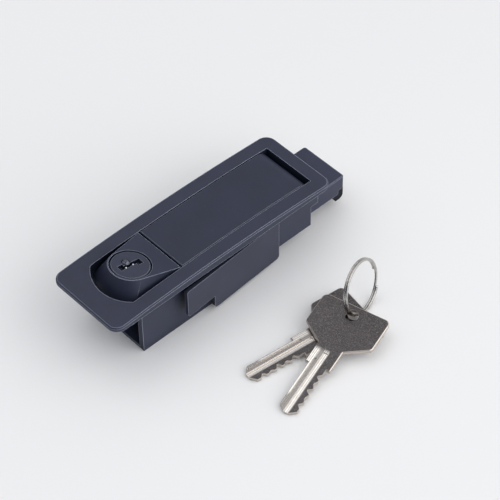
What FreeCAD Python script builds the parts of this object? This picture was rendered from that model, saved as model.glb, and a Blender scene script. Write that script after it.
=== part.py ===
import FreeCAD, Part
import math
import os
import Sketcher

# Push-button cabinet lock with a flush pull handle, in millimetres.
# The origin is the centre of the flange's underside, the face that sits on the door.
# +X points to the latch bolt, +Z out of the door.

Vector = FreeCAD.Vector
Rotation = FreeCAD.Rotation
Placement = FreeCAD.Placement

DIMENSIONS = [
    # bezel and body
    ("bezel_length", 120.0),
    ("bezel_width", 40.4),
    ("bezel_edge", 1.9),
    ("bezel_crown", 2.0),
    ("bezel_corner", 4.8),
    ("bezel_bevel", 0.6),
    ("opening_left", 44.8),
    ("opening_bulge", 5.8),
    ("opening_right", 53.4),
    ("flange_overhang", 4.2),
    ("body_left", 43.3),
    ("body_depth", 27.0),
    ("step_start", 31.0),
    ("step_depth", 21.2),
    ("lower_end", 51.4),
    ("upper_end", 55.4),
    ("shelf_thickness", 2.0),
    ("wall", 2.6),
    ("cover_thickness", 1.2),
    ("piece_gap", 0.25),
    ("side_gap", 0.3),
    # handle
    ("handle_left", 18.4),
    ("handle_underside", 0.2),
    ("handle_pivot_x", 46.5),
    ("knuckle_radius", 6.5),
    ("handle_hub_radius", 3.2),
    ("handle_pin_radius", 1.5),
    ("arm_half_width", 3.0),
    ("arm_tip_radius", 2.0),
    ("pin_fit", 0.06),
    # button and key cylinder
    ("button_right", 19.3),
    ("button_tilt", 10.0),
    ("button_pivot_x", 23.5),
    ("button_pivot_depth", 12.0),
    ("button_pin_radius", 1.25),
    ("plug_x", 34.7),
    ("plug_top", 6.37),
    ("plug_head_radius", 8.3),
    ("plug_radius", 5.5),
    ("plug_length", 19.0),
    ("sleeve_radius", 7.3),
    ("collar_radius", 9.4),
    ("cam_thickness", 1.8),
    # bolt
    ("bolt_side_gap", 1.2),
    ("bolt_top", 10.45),
    ("bolt_tail", 22.0),
    ("bolt_end", 74.9),
    ("nose_drop", 3.8),
    ("nose_rebate", 3.4),
    # snap-in wings
    ("wing_hinge_x", 29.2),
    ("wing_bead_radius", 1.2),
    ("wing_length", 52.4),
    ("wing_thickness", 1.7),
    ("wing_top", 2.6),
    ("wing_depth", 25.0),
    ("wing_short_depth", 17.7),
    ("wing_splay", 3.3),
    # keys and their ring
    ("key_length", 58.2),
    ("key_thickness", 1.6),
    ("key_blade_length", 25.0),
    ("key_blade_half_width", 4.0),
    ("key_neck_half_width", 5.8),
    ("key_bow_start", 42.2),
    ("key_bow_half_width", 15.6),
    ("key_hole_x", 53.2),
    ("key_hole_radius", 2.9),
    ("ring_radius", 12.0),
    ("ring_wire", 1.2),
    ("ring_height", 2.0),
]


class Size:
    """A size in millimetres or degrees that keeps the spreadsheet formula it comes from."""

    def __init__(self, value, formula):
        self.value = value
        self.formula = formula

    def __add__(self, other):
        other = as_size(other)
        return Size(self.value + other.value, f"({self.formula} + {other.formula})")

    def __radd__(self, other):
        return as_size(other) + self

    def __sub__(self, other):
        other = as_size(other)
        return Size(self.value - other.value, f"({self.formula} - {other.formula})")

    def __rsub__(self, other):
        return as_size(other) - self

    def __mul__(self, other):
        other = as_size(other)
        return Size(self.value * other.value, f"({self.formula} * {other.formula})")

    def __rmul__(self, other):
        return as_size(other) * self

    def __truediv__(self, other):
        other = as_size(other)
        return Size(self.value / other.value, f"({self.formula} / {other.formula})")

    def __neg__(self):
        return 0.0 - self


def as_size(number):
    """A plain number becomes a size with itself as its formula."""
    if isinstance(number, Size):
        return number
    return Size(float(number), f"({float(number):.6f})")


def sine(angle):
    return Size(math.sin(math.radians(angle.value)), f"sin({angle.formula})")


def cosine(angle):
    return Size(math.cos(math.radians(angle.value)), f"cos({angle.formula})")


class Sheet:
    """The spreadsheet with the lock's driving sizes, read by name."""

    def __init__(self, document, rows):
        self.item = document.addObject("Spreadsheet::Sheet", "sizes")
        for number, (name, value) in enumerate(rows, start=1):
            self.item.set(f"A{number}", name)
            self.item.set(f"B{number}", f"{value}")
            self.item.setAlias(f"B{number}", name)
        document.recompute()

    def __getattr__(self, name):
        return Size(float(self.item.get(name)), f"sizes.{name}")


DOC = FreeCAD.newDocument("cabinet_lock")
S = Sheet(DOC, DIMENSIONS)

# Sizes that follow from the sheet
BODY_HALF = S.bezel_width / 2 - S.flange_overhang
CAVITY_HALF = BODY_HALF - S.wall
LID_HALF = CAVITY_HALF - S.side_gap
BEZEL_TOP = S.bezel_edge + S.bezel_crown
HALF_LENGTH = S.bezel_length / 2
CROWN_RADIUS = (HALF_LENGTH * HALF_LENGTH + S.bezel_crown * S.bezel_crown) / (2 * S.bezel_crown)
COVER_TOP = S.cover_thickness - S.body_depth
RAISED_COVER_TOP = S.cover_thickness - S.step_depth
BOLT_BOTTOM = RAISED_COVER_TOP + 0.2
BOLT_THICKNESS = -S.bolt_top - BOLT_BOTTOM
BOLT_AXIS = BOLT_BOTTOM + BOLT_THICKNESS / 2
BOLT_HALF = CAVITY_HALF - S.bolt_side_gap
BOLT_BORE = BOLT_THICKNESS / 2 - 0.72
GUIDE_ROD_RADIUS = BOLT_BORE - 1.55
NOSE_TOP = BOLT_BOTTOM + 2.3
SHELF_UNDER = S.piece_gap - S.bolt_top
WING_HINGE_Y = BODY_HALF - 0.9
SIDES = (("front", -1), ("back", 1))

# Where the loose keys lie: tip, heading and tilt of each, and the ring's middle and facing
KEY_FRONT_TIP = (-23.6, -79.2)
KEY_FRONT_HEADING = 15.4
KEY_FRONT_TILT = 6.3
KEY_BACK_TIP = (-22.1, -55.4)
KEY_BACK_HEADING = -9.1
KEY_BACK_TILT = 2.9
RING_PLACE = (37.43, -59.88)
RING_NORMAL = (0.2588, -0.9659, 0.22)


def crown_height(along):
    """Height of the bezel's crowned face at a distance along the bezel."""
    share = along / HALF_LENGTH
    return BEZEL_TOP - S.bezel_crown * share * share


HANDLE_PIVOT_DEPTH = S.knuckle_radius - crown_height(S.handle_pivot_x)


def bind(item, field, amount):
    """Tie one field of an object to the spreadsheet."""
    item.setExpression(field, as_size(amount).formula)


def mirrored(side, low, high):
    """The span from low to high on the +Y side, or its mirror image on the -Y side."""
    if side > 0:
        return (low, high)
    return (-high, -low)


def expanded(points):
    """Replace each rounded square corner by the two ends of its arc."""
    result = []
    count = len(points)
    for index, point in enumerate(points):
        if len(point) < 4 or point[2] != "round":
            result.append(point)
            continue
        x, y, radius = as_size(point[0]), as_size(point[1]), as_size(point[3])
        before = points[index - 1]
        after = points[(index + 1) % count]
        back_x = as_size(before[0]).value - x.value
        back_y = as_size(before[1]).value - y.value
        on_x = as_size(after[0]).value - x.value
        on_y = as_size(after[1]).value - y.value
        if abs(back_x) > abs(back_y):
            first = (x + radius * math.copysign(1, back_x), y)
            last = (x, y + radius * math.copysign(1, on_y))
            turn = -math.copysign(1, back_x) * math.copysign(1, on_y)
        else:
            first = (x, y + radius * math.copysign(1, back_y))
            last = (x + radius * math.copysign(1, on_x), y)
            turn = math.copysign(1, back_y) * math.copysign(1, on_x)
        result.append(first)
        result.append((last[0], last[1], "arc", radius * turn))
    return result


def arc_between(start, end, radius):
    """The short arc from start to end, turning left where the radius is positive."""
    middle = (start + end) * 0.5
    half = (end - start) * 0.5
    rise = math.sqrt(max(radius * radius - half.Length ** 2, 0.0))
    left = Vector(-half.y, half.x, 0).normalize()
    centre = middle + left * math.copysign(rise, radius)
    first, last = (start, end) if radius > 0 else (end, start)
    angles = []
    for point in (first, last):
        angles.append(math.atan2(point.y - centre.y, point.x - centre.x))
    circle = Part.Circle(centre, Vector(0, 0, 1), abs(radius))
    return Part.ArcOfCircle(circle, angles[0], angles[1])


def draw(sketch, points):
    """Draw a closed outline of lines and arcs and tie every point and radius to the sheet."""
    points = expanded(points)
    count = len(points)
    places = [Vector(as_size(p[0]).value, as_size(p[1]).value, 0) for p in points]
    ends = []
    for index in range(count):
        after = (index + 1) % count
        radius = as_size(points[after][3]).value if len(points[after]) > 2 else 0.0
        if radius:
            sketch.addGeometry(arc_between(places[index], places[after], radius), False)
        else:
            sketch.addGeometry(Part.LineSegment(places[index], places[after]), False)
        ends.append((1, 2) if radius >= 0 else (2, 1))
    for index in range(count):
        after = (index + 1) % count
        joined = Sketcher.Constraint("Coincident", index, ends[index][1], after, ends[after][0])
        sketch.addConstraint(joined)
    for index, point in enumerate(points):
        for kind, amount in (("DistanceX", point[0]), ("DistanceY", point[1])):
            amount = as_size(amount)
            rule = Sketcher.Constraint(kind, -1, 1, index, ends[index][0], amount.value)
            number = sketch.addConstraint(rule)
            bind(sketch, f"Constraints[{number}]", amount)
        if len(point) > 2:
            radius = as_size(point[3])
            radius = radius if radius.value > 0 else -radius
            arc = (index - 1) % count
            number = sketch.addConstraint(Sketcher.Constraint("Radius", arc, radius.value))
            bind(sketch, f"Constraints[{number}]", radius)


class Piece:
    """One separate piece of the lock, built feature by feature in its own body."""

    def __init__(self, name):
        self.body = DOC.addObject("PartDesign::Body", name)
        self.body.Label = name
        self.volume = 0.0

    def settle(self, item, cut):
        """Recompute and make sure the feature added or took away material."""
        DOC.recompute()
        volume = self.body.Shape.Volume
        changed = self.volume - volume if cut else volume - self.volume
        if changed < 0.001:
            raise ValueError(f"{item.Label} in {self.body.Label} changes nothing")
        self.volume = volume
        return item

    def plane(self, name):
        for feature in self.body.Origin.OriginFeatures:
            if feature.Role == name:
                return feature
        raise ValueError(name)

    def sketch(self, name, plane, at):
        """An empty sketch on an origin plane, moved along that plane's axis."""
        sketch = self.body.newObject("Sketcher::SketchObject", name)
        sketch.AttachmentSupport = [(self.plane(plane + "_Plane"), "")]
        sketch.MapMode = "FlatFace"
        along = -as_size(at) if plane == "XZ" else as_size(at)
        sketch.AttachmentOffset = Placement(Vector(0, 0, along.value), Rotation())
        bind(sketch, "AttachmentOffset.Base.z", along)
        return sketch

    def prism(self, name, plane, points, low, high, cut=False):
        """Pad or pocket an outline between two distances along the plane's axis."""
        from_high = (plane == "XZ") != cut
        sketch = self.sketch(name + "_outline", plane, high if from_high else low)
        draw(sketch, points)
        kind = "PartDesign::Pocket" if cut else "PartDesign::Pad"
        item = self.body.newObject(kind, name)
        item.Profile = sketch
        item.Length = as_size(high).value - as_size(low).value
        bind(item, "Length", as_size(high) - low)
        sketch.Visibility = False
        return self.settle(item, cut)

    def turned(self, name, points, cut=False):
        """Revolve an outline of radius and height about the piece's own Z axis."""
        sketch = self.sketch(name + "_outline", "XZ", 0)
        draw(sketch, points)
        kind = "PartDesign::Groove" if cut else "PartDesign::Revolution"
        item = self.body.newObject(kind, name)
        item.Profile = sketch
        item.ReferenceAxis = (sketch, ["V_Axis"])
        item.Angle = 360
        sketch.Visibility = False
        return self.settle(item, cut)

    def shape(self, name, kind, cut, fields, place, turn):
        """A primitive with sizes and position tied to the sheet."""
        prefix = "PartDesign::Subtractive" if cut else "PartDesign::Additive"
        item = self.body.newObject(prefix + kind, name)
        for field, amount in fields:
            setattr(item, field, as_size(amount).value)
            bind(item, field, amount)
        item.AttachmentSupport = [(self.plane("XY_Plane"), "")]
        item.MapMode = "FlatFace"
        base = Vector(*[as_size(amount).value for amount in place])
        axis, angle = turn
        item.AttachmentOffset = Placement(base, Rotation(axis, as_size(angle).value))
        for letter, amount in zip("xyz", place):
            bind(item, f"AttachmentOffset.Base.{letter}", amount)
        if isinstance(angle, Size):
            bind(item, "AttachmentOffset.Rotation.Angle", angle)
        return self.settle(item, cut)

    def block(self, name, xs, ys, zs, cut=False):
        """A box between two values of x, y and z."""
        fields = []
        for field, span in (("Length", xs), ("Width", ys), ("Height", zs)):
            fields.append((field, as_size(span[1]) - span[0]))
        place = (xs[0], ys[0], zs[0])
        return self.shape(name, "Box", cut, fields, place, (Vector(0, 0, 1), 0))

    def rod(self, name, start, along, radius, length, cut=False):
        """A cylinder from its start point along x, y, z or the tilted key axis."""
        turns = {
            "x": (Vector(0, 1, 0), 90),
            "y": (Vector(1, 0, 0), -90),
            "z": (Vector(0, 0, 1), 0),
            "key": (Vector(0, 1, 0), S.button_tilt),
        }
        fields = [("Radius", radius), ("Height", length)]
        return self.shape(name, "Cylinder", cut, fields, start, turns[along])

    def cone(self, name, start, bottom_radius, top_radius, height, cut=False):
        """An upright cone frustum."""
        fields = [("Radius1", bottom_radius), ("Radius2", top_radius), ("Height", height)]
        return self.shape(name, "Cone", cut, fields, start, (Vector(0, 0, 1), 0))

    def edges(self, chosen):
        """Names of the edges whose middle point passes a test."""
        names = []
        for number, edge in enumerate(self.body.Tip.Shape.Edges, start=1):
            first, last = edge.ParameterRange
            middle = edge.valueAt((first + last) / 2)
            if chosen(edge, middle):
                names.append(f"Edge{number}")
        return names

    def fillet(self, name, radius, chosen):
        """Round the chosen edges."""
        names = self.edges(chosen)
        if not names:
            raise ValueError(f"no edge for {name}")
        tip = self.body.Tip
        item = self.body.newObject("PartDesign::Fillet", name)
        item.Base = (tip, names)
        item.Radius = as_size(radius).value
        bind(item, "Radius", radius)
        DOC.recompute()
        self.volume = self.body.Shape.Volume
        return item

    def chamfer(self, name, size, chosen):
        """Bevel the chosen edges."""
        names = self.edges(chosen)
        if not names:
            raise ValueError(f"no edge for {name}")
        tip = self.body.Tip
        item = self.body.newObject("PartDesign::Chamfer", name)
        item.Base = (tip, names)
        item.Size = as_size(size).value
        bind(item, "Size", size)
        DOC.recompute()
        self.volume = self.body.Shape.Volume
        return item


def is_vertical(edge):
    """True for a straight edge that runs along z."""
    first, last = edge.Vertexes[0].Point, edge.Vertexes[-1].Point
    return abs(first.x - last.x) < 0.001 and abs(first.y - last.y) < 0.001


def near(value, target, slack=0.01):
    return abs(value - as_size(target).value) < slack


def opening_outline(gap):
    """D-shaped outline of the bezel's opening, made smaller all round by a gap."""
    half = CAVITY_HALF - gap
    left = -S.opening_left
    right = S.opening_right - gap
    bulge = S.opening_bulge - gap
    radius = (half * half + bulge * bulge) / (2 * bulge)
    return [(left, half), (left, -half, "arc", radius), (right, -half), (right, half)]


def build_housing():
    """Bezel flange and open-bottomed body, one die-casting."""
    piece = Piece("housing")
    half = HALF_LENGTH
    face = [(-half, 0), (half, 0), (half, S.bezel_edge), (-half, S.bezel_edge, "arc", CROWN_RADIUS)]
    piece.prism("bezel", "XZ", face, -S.bezel_width / 2, S.bezel_width / 2)
    corner = half.value - 0.01
    piece.fillet("bezel_corners", S.bezel_corner, lambda e, m: is_vertical(e) and abs(m.x) > corner)
    piece.chamfer("bezel_edge_bevel", S.bezel_bevel, on_crown_rim)

    body_outline = [
        (-S.body_left, 0.5), (-S.body_left, -S.body_depth), (S.step_start, -S.body_depth),
        (S.step_start, -S.step_depth), (S.lower_end, -S.step_depth), (S.lower_end, SHELF_UNDER),
        (S.upper_end, SHELF_UNDER), (S.upper_end, 0.5),
    ]
    piece.prism("body", "XZ", body_outline, -BODY_HALF, BODY_HALF)
    add_locating_rim(piece)
    piece.prism("opening", "XY", opening_outline(0), -1.9, BEZEL_TOP + 1, cut=True)

    shelf = SHELF_UNDER + S.shelf_thickness
    inner_end = S.lower_end - S.wall
    cavity = [
        (-S.body_left - 1, -0.5), (-S.body_left - 1, -S.body_depth - 1), (inner_end, -S.body_depth - 1),
        (inner_end, shelf), (S.opening_right, shelf), (S.opening_right, -0.5),
    ]
    piece.prism("cavity", "XZ", cavity, -CAVITY_HALF, CAVITY_HALF, cut=True)
    add_inner_features(piece)
    add_pin_holes(piece)
    add_wing_seats(piece)
    return piece


def on_crown_rim(edge, middle):
    """Edges round the outside of the crowned face."""
    on_top = middle.z > crown_height(as_size(middle.x)).value - 0.02
    return on_top and not is_vertical(edge)


def add_locating_rim(piece):
    """Low rim under the flange round the rounded end of the opening."""
    half = CAVITY_HALF + 1.5
    bulge = S.opening_bulge + 1.5
    radius = (half * half + bulge * bulge) / (2 * bulge)
    left = -S.opening_left
    inner = -S.body_left + 1
    outline = [(left, half), (left, -half, "arc", radius), (inner, -half), (inner, half)]
    piece.prism("locating_rim", "XY", outline, -1.8, 0.5)


def add_inner_features(piece):
    """Spring wall, bolt guides, handle ledges, screw posts and the bolt's slot."""
    wide = CAVITY_HALF + 0.1
    piece.block("spring_wall", (3.0, 5.5), (-wide, wide), (COVER_TOP, 1.45 - S.bolt_top))
    for side, sign in SIDES:
        piece.prism(f"{side}_bolt_guide", "YZ", guide_outline(sign, wide), 20.0, 31.0)
        ledge = mirrored(sign, CAVITY_HALF - 1.3, wide)
        top = S.handle_underside - 0.35
        piece.block(f"{side}_handle_ledge", (-14.0, 36.0), ledge, (-2.0, top))
        for end, place in (("left", -36.0), ("right", 14.0)):
            start = (place, (CAVITY_HALF - 2.2) * sign, COVER_TOP)
            piece.rod(f"{side}_{end}_post", start, "z", 2.4, 5.5)
            piece.rod(f"{side}_{end}_thread", start, "z", 1.27, 4.6, cut=True)
    slot = BOLT_HALF + S.piece_gap
    ends = (S.lower_end - S.wall - 0.5, S.lower_end + 0.5)
    piece.block("bolt_slot", ends, (-slot, slot), (-S.step_depth - 1, SHELF_UNDER), cut=True)
    start = (2.5, 0, BOLT_AXIS)
    piece.rod("guide_rod_hole", start, "x", GUIDE_ROD_RADIUS + 0.02, 3.5, cut=True)


def guide_outline(sign, wide):
    """Angle-shaped section of a guide, beside and above one edge of the bolt."""
    beside = BOLT_HALF + S.side_gap
    inner = BOLT_HALF - 2.0
    low = RAISED_COVER_TOP + 0.1
    under = SHELF_UNDER
    top = SHELF_UNDER + 1.5
    points = [(wide, low), (beside, low), (beside, under), (inner, under), (inner, top), (wide, top)]
    return [(sign * across, height) for across, height in points]


def add_pin_holes(piece):
    """Holes for the handle's and the button's pins, blind in the front wall."""
    blind = 1.2 - BODY_HALF
    length = BODY_HALF * 2
    pins = (
        ("handle", S.handle_pivot_x, -HANDLE_PIVOT_DEPTH, S.handle_pin_radius),
        ("button", -S.button_pivot_x, -S.button_pivot_depth, S.button_pin_radius),
    )
    for name, along, depth, radius in pins:
        piece.rod(f"{name}_pin_hole", (along, blind, depth), "y", radius + 0.02, length, cut=True)


def add_wing_seats(piece):
    """Bead grooves for the wings and shallow recesses for their leaf springs."""
    for side, sign in SIDES:
        start = (S.wing_hinge_x, WING_HINGE_Y * sign, -S.wing_depth - 0.2)
        length = S.wing_depth - S.wing_top + 0.5
        radius = S.wing_bead_radius + 0.05
        piece.rod(f"{side}_bead_groove", start, "z", radius, length, cut=True)
        recess = mirrored(sign, BODY_HALF - 0.8, BODY_HALF + 0.2)
        piece.block(f"{side}_spring_recess", (-18.2, -5.0), recess, (-16.2, -7.8), cut=True)


def build_cover():
    """Stepped sheet-metal plate that closes the housing from below."""
    piece = Piece("bottom_cover")
    riser = S.step_start - S.cover_thickness
    outline = [
        (-S.body_left, -S.body_depth), (S.step_start, -S.body_depth), (S.step_start, -S.step_depth),
        (S.lower_end, -S.step_depth), (S.lower_end, RAISED_COVER_TOP), (riser, RAISED_COVER_TOP),
        (riser, COVER_TOP), (-S.body_left, COVER_TOP),
    ]
    half = CAVITY_HALF - 0.1
    piece.prism("plate", "XZ", outline, -half, half)
    shoulder = S.lower_end - S.wall - 0.1
    for side, sign in SIDES:
        beside = mirrored(sign, BOLT_HALF + 0.15, half + 1)
        zs = (-S.step_depth - 1, RAISED_COVER_TOP + 1)
        piece.block(f"{side}_shoulder", (shoulder, S.lower_end + 1), beside, zs, cut=True)
        for end, place in (("left", -36.0), ("right", 14.0)):
            start = (place, (CAVITY_HALF - 2.2) * sign, -S.body_depth)
            piece.cone(f"{side}_{end}_countersink", start, 2.35, 1.35, S.cover_thickness, cut=True)
    return piece


def build_handle():
    """Flush pull handle with its knuckle, hub, bolt arm and catch hook."""
    piece = Piece("pull_handle")
    px, pz = S.handle_pivot_x, -HANDLE_PIVOT_DEPTH
    left = -S.handle_left
    under = S.handle_underside
    inner = S.handle_hub_radius
    outline = [
        (left, under), (px - S.knuckle_radius, under), (px - inner, pz),
        (px, pz - inner, "arc", inner), (px + inner, pz, "arc", inner),
        (px + S.knuckle_radius, pz), (px, pz + S.knuckle_radius, "arc", S.knuckle_radius),
        (left, crown_height(left), "arc", CROWN_RADIUS),
    ]
    half = LID_HALF
    piece.prism("plate", "XZ", outline, -half, half)
    piece.chamfer("rim_bevel", 0.3, on_handle_rim)
    inside = (-(half - 1.6), half - 1.6)
    hollow = (left + 1.6, px - S.knuckle_radius - 1.9)
    piece.block("underside_hollow", hollow, inside, (under - 1, under + 1.7), cut=True)
    arm = (-S.arm_half_width, S.arm_half_width)
    arm_width = (px - S.arm_tip_radius + 0.1, px + S.arm_tip_radius - 0.1)
    arm_end = BOLT_BOTTOM + 2.8
    piece.block("arm", arm_width, arm, (arm_end, pz - 1))
    tip = (px, -S.arm_half_width, arm_end)
    piece.rod("arm_tip", tip, "y", S.arm_tip_radius, S.arm_half_width * 2)
    start = (px, -half - 1, pz)
    bore = S.handle_pin_radius + S.pin_fit
    piece.rod("pin_bore", start, "y", bore, half * 2 + 2, cut=True)
    piece.rod("spring_pocket", (px, 4.0, pz), "y", S.handle_hub_radius + 0.1, 6.0, cut=True)
    hook = (left + 1.8, left + 4.8)
    piece.block("catch_hook", hook, (-5.0, 5.0), (-8.4, under + 1.9))
    piece.block("catch_nose", (left + 1.5, left + 3.0), (-5.0, 5.0), (-8.4, -7.0))
    return piece


def on_handle_rim(edge, middle):
    """Top edges of the handle at its left end and along both sides."""
    left = -S.handle_left.value
    side = abs(middle.y) > LID_HALF.value - 0.01
    end = near(middle.x, left) and not is_vertical(edge)
    top = middle.z > crown_height(as_size(middle.x)).value - 0.05
    return middle.z > 1.0 and top and (side or end) and not is_vertical(edge)


def key_axis_point(depth):
    """A point on the key cylinder's axis, at a depth below its face."""
    along = -S.plug_x - sine(S.button_tilt) * depth
    height = S.plug_top - cosine(S.button_tilt) * depth
    return (along, 0, height)


def build_button():
    """Raised, tilted push button that carries the key cylinder."""
    piece = Piece("lock_button")
    right = -S.button_right
    foot = piece.sketch("foot_outline", "XY", -2.4)
    half = CAVITY_HALF - 0.4
    left = 0.6 - S.opening_left
    bulge = S.opening_bulge - 1.7
    radius = (half * half + bulge * bulge) / (2 * bulge)
    draw(foot, [(right, -half), (right, half), (left, half), (left, -half, "arc", radius)])
    face = button_face_sketch(piece)
    block = piece.body.newObject("PartDesign::AdditiveLoft", "button_block")
    block.Profile = foot
    block.Sections = [face]
    block.Ruled = True
    piece.settle(block, False)
    for sketch in (foot, face):
        sketch.Visibility = False

    collar_depth = S.plug_length - 4.5
    piece.rod("collar", key_axis_point(collar_depth), "key", S.collar_radius, collar_depth - 2)
    add_button_pivot(piece)
    start = key_axis_point(3.2)
    piece.rod("head_recess", start, "key", S.plug_head_radius + 0.6, 6.0, cut=True)
    start = key_axis_point(collar_depth + 1)
    piece.rod("sleeve_bore", start, "key", S.sleeve_radius + 0.05, collar_depth + 2, cut=True)
    return piece


def button_face_sketch(piece):
    """Tilted top outline: an arc about the key axis that runs out to the two right corners."""
    sketch = piece.body.newObject("Sketcher::SketchObject", "face_outline")
    sketch.AttachmentSupport = [(piece.plane("XY_Plane"), "")]
    sketch.MapMode = "FlatFace"
    top = key_axis_point(0)
    base = Vector(top[0].value, 0, top[2].value)
    sketch.AttachmentOffset = Placement(base, Rotation(Vector(0, 1, 0), S.button_tilt.value))
    bind(sketch, "AttachmentOffset.Base.x", top[0])
    bind(sketch, "AttachmentOffset.Base.z", top[2])
    bind(sketch, "AttachmentOffset.Rotation.Angle", S.button_tilt)

    right = (S.plug_x - S.button_right) / cosine(S.button_tilt)
    half = LID_HALF
    radius = S.collar_radius
    reach = math.hypot(right.value, half.value)
    start = math.atan2(half.value, right.value) + math.acos(radius.value / reach)
    touch = Vector(radius.value * math.cos(start), radius.value * math.sin(start), 0)
    low, high = Vector(right.value, -half.value, 0), Vector(right.value, half.value, 0)
    circle = Part.Circle(Vector(0, 0, 0), Vector(0, 0, 1), radius.value)
    sketch.addGeometry(Part.LineSegment(low, high), False)
    sketch.addGeometry(Part.LineSegment(high, touch), False)
    sketch.addGeometry(Part.ArcOfCircle(circle, start, 2 * math.pi - start), False)
    sketch.addGeometry(Part.LineSegment(Vector(touch.x, -touch.y, 0), low), False)
    rules = [
        Sketcher.Constraint("Coincident", 0, 2, 1, 1),
        Sketcher.Constraint("Tangent", 1, 2, 2, 1),
        Sketcher.Constraint("Tangent", 2, 2, 3, 1),
        Sketcher.Constraint("Coincident", 3, 2, 0, 1),
        Sketcher.Constraint("Coincident", 2, 3, -1, 1),
    ]
    for rule in rules:
        sketch.addConstraint(rule)
    number = sketch.addConstraint(Sketcher.Constraint("Radius", 2, radius.value))
    bind(sketch, f"Constraints[{number}]", radius)
    for point, height in ((1, -half), (2, half)):
        for kind, amount in (("DistanceX", right), ("DistanceY", height)):
            rule = Sketcher.Constraint(kind, -1, 1, 0, point, amount.value)
            number = sketch.addConstraint(rule)
            bind(sketch, f"Constraints[{number}]", amount)
    return sketch


def add_button_pivot(piece):
    """Two cheeks down to the hinge pin and the lip that the handle's hook catches under."""
    px, pz = -S.button_pivot_x, -S.button_pivot_depth
    outer = CAVITY_HALF - 0.5
    for side, sign in SIDES:
        span = mirrored(sign, 9.0, outer)
        piece.block(f"{side}_cheek", (px - 4.0, px + 4.0), span, (pz, -1.0))
        piece.rod(f"{side}_hub", (px, span[0], pz), "y", 4.0, outer - 9.0)
    right = -S.button_right
    piece.block("catch_wall", (right - 2.7, right), (-9.5, 9.5), (-7.0, -1.0))
    piece.block("catch_lip", (right - 0.5, right + 1.9), (-6.0, 6.0), (-6.5, -4.5))
    bore = S.button_pin_radius + S.pin_fit
    start = (px, -outer - 1, pz)
    piece.rod("pin_bore", start, "y", bore, outer * 2 + 2, cut=True)


def tilt_with_button(item):
    """Stand a piece that was made upright on the tilted key axis."""
    top = key_axis_point(0)
    base = Vector(top[0].value, 0, top[2].value)
    item.Placement = Placement(base, Rotation(Vector(0, 1, 0), S.button_tilt.value))
    bind(item, "Placement.Base.x", top[0])
    bind(item, "Placement.Base.z", top[2])
    bind(item, "Placement.Rotation.Angle", S.button_tilt)


def build_sleeve():
    """Flanged tube that the key plug turns in."""
    piece = Piece("cylinder_sleeve")
    bore = S.plug_radius + 0.05
    outer = S.sleeve_radius
    flange = S.plug_head_radius + 0.5
    foot = 0.4 - S.plug_length
    outline = [
        (bore, -2.2), (bore, foot), (outer, foot), (outer, -3.2), (flange, -3.2), (flange, -2.2),
    ]
    piece.turned("tube", outline)
    tilt_with_button(piece.body)
    return piece


def build_nut():
    """Six-sided nut that clamps the sleeve in the button."""
    piece = Piece("cylinder_nut")
    high = 4.5 - S.plug_length
    sketch = piece.sketch("nut_outline", "XY", high - 3.0)
    radius = 9.2
    corners = []
    for number in range(6):
        angle = math.radians(60 * number)
        corners.append((radius * math.cos(angle), radius * math.sin(angle)))
    draw(sketch, corners)
    nut = piece.body.newObject("PartDesign::Pad", "nut")
    nut.Profile = sketch
    nut.Length = 3.0
    sketch.Visibility = False
    piece.settle(nut, False)
    start = (0, 0, high - 4.0)
    piece.rod("thread", start, "z", S.sleeve_radius + 0.02, 5.0, cut=True)
    tilt_with_button(piece.body)
    return piece


def build_plug():
    """Key plug with a round face, an S-shaped keyway, wafer slots and a square tail."""
    piece = Piece("key_plug")
    head, stem = S.plug_head_radius, S.plug_radius
    foot = -S.plug_length
    outline = [
        (0, 0), (0, foot), (stem, foot), (stem, -2.0), (head, -2.0), (head, -0.35),
        (head - 0.35, 0),
    ]
    piece.turned("turned_plug", outline)
    piece.block("tail", (-2.3, 2.3), (-2.3, 2.3), (foot - S.cam_thickness, foot + 1))
    piece.cone("key_ward", (-0.5, 2.3, -0.5), 1.9, 1.3, 1.1)
    keyway = [
        (-5.3, -0.7), (2.6, -0.7), (2.6, -2.0), (5.3, -2.0), (5.3, 1.1), (-2.6, 1.1), (-2.6, 2.2),
        (-5.3, 2.2),
    ]
    piece.prism("keyway_mouth", "XY", keyway, -1.6, 0.5, cut=True)
    piece.block("keyway", (-4.3, 4.3), (-1.25, 1.25), (4.0 - S.plug_length, -1.0), cut=True)
    for number in range(4):
        top = -3.6 - 2.6 * number
        name = f"wafer_slot_{number + 1}"
        piece.block(name, (-4.6, 4.6), (-7.0, 7.0), (top - 1.1, top), cut=True)
    piece.rod("screw_hole", (0, 0, foot - 4.0), "z", 1.02, 6.0, cut=True)
    tilt_with_button(piece.body)
    return piece


def build_cam():
    """Blocking cam with a square hole, fixed on the plug's tail."""
    piece = Piece("cam")
    high = -S.plug_length
    low = high - S.cam_thickness
    piece.rod("hub", (0, 0, low), "z", 4.6, S.cam_thickness)
    piece.block("arm", (0, 7.0), (-2.4, 2.4), (low, high))
    piece.rod("arm_end", (7.0, 0, low), "z", 2.4, S.cam_thickness)
    piece.block("square_hole", (-2.32, 2.32), (-2.32, 2.32), (low - 1, high + 1), cut=True)
    tilt_with_button(piece.body)
    return piece


def build_cam_screw():
    """Pan-head screw that holds the cam."""
    piece = Piece("cam_screw")
    under = -S.plug_length - S.cam_thickness
    outline = [
        (0, under + 3.6), (0, under - 1.4), (2.2, under - 1.4), (3.2, under - 0.6), (3.2, under),
        (1.0, under), (1.0, under + 3.6),
    ]
    piece.turned("screw", outline)
    piece.block("drive_slot", (-4.0, 4.0), (-0.35, 0.35), (under - 2.0, under - 0.8), cut=True)
    tilt_with_button(piece.body)
    return piece


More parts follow.
